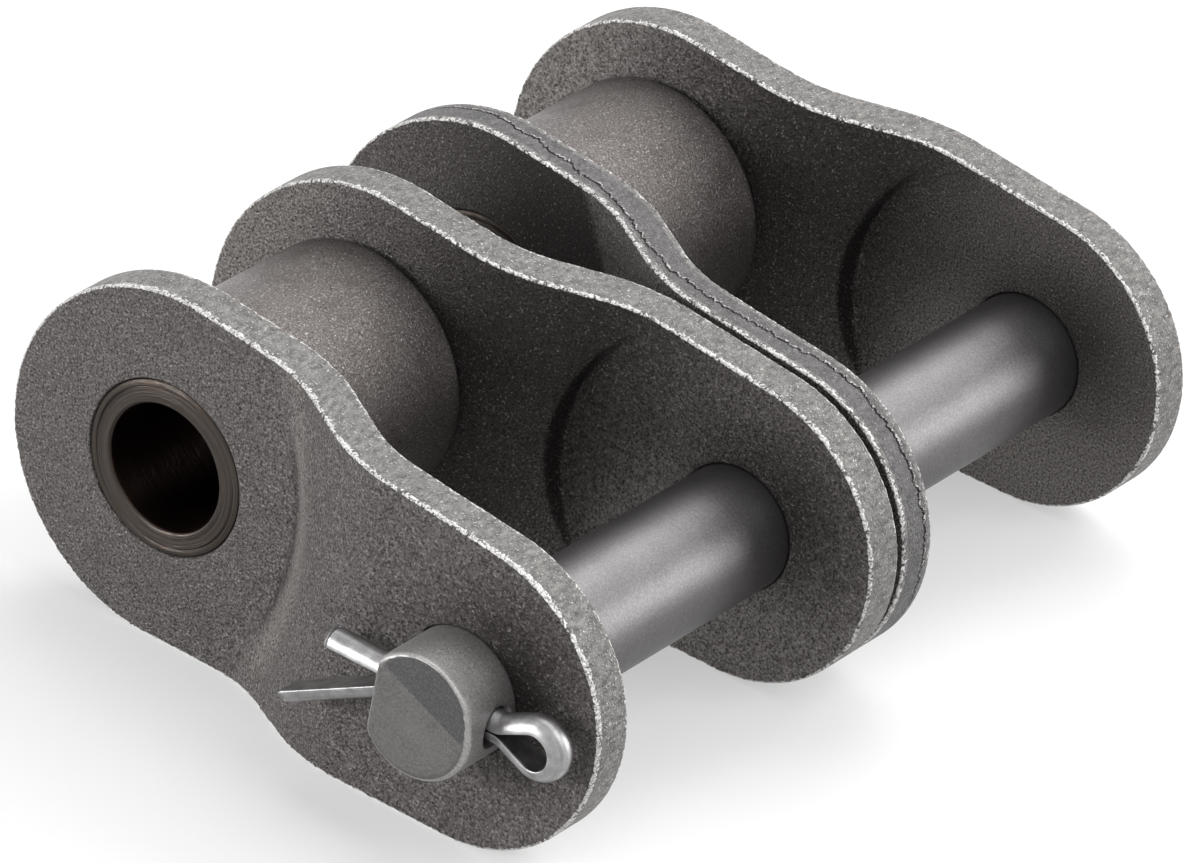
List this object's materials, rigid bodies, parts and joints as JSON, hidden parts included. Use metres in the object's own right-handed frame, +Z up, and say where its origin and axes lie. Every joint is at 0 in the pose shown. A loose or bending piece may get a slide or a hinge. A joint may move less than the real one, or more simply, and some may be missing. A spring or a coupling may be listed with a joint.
{
  "type": "offset chain link",
  "caption": "Double-strand offset link of a roller chain: cranked plates on bushes with rollers, joined by a through pin held by a split pin.",
  "frame": {"origin": "on the common axis of the two bushes, midway between the two strands", "axes": "+X from the bush axis to the connecting pin axis along the pitch line, +Y along the bushes and the pin towards the pin's headed end, +Z up, across the plates"},
  "size_m": [0.0467, 0.0648, 0.0228],
  "materials": {
    "plate_steel": "shot-peened heat-treated steel, dark grey",
    "bush_steel": "turned case-hardened steel",
    "roller_steel": "shot-peened case-hardened steel",
    "pin_steel": "satin ground case-hardened steel",
    "cotter_wire": "bright zinc-plated steel wire"
  },
  "bodies": {
    "link": {"near_outer_plate": "plate_steel", "near_inner_plate": "plate_steel", "far_inner_plate": "plate_steel", "far_outer_plate": "plate_steel", "near_bush": "bush_steel", "far_bush": "bush_steel", "connecting_pin": "pin_steel", "cotter_pin": "cotter_wire"},
    "near_roller": {"near_roller": "roller_steel"},
    "far_roller": {"far_roller": "roller_steel"}
  },
  "joints": [
    {"name": "near_roller_spin", "type": "hinge", "parent": "link", "child": "near_roller", "pos_m": [0, -0.0148, 0], "axis": [0, 1, 0], "continuous": true},
    {"name": "far_roller_spin", "type": "hinge", "parent": "link", "child": "far_roller", "pos_m": [0, 0.0148, 0], "axis": [0, 1, 0], "continuous": true}
  ]
}
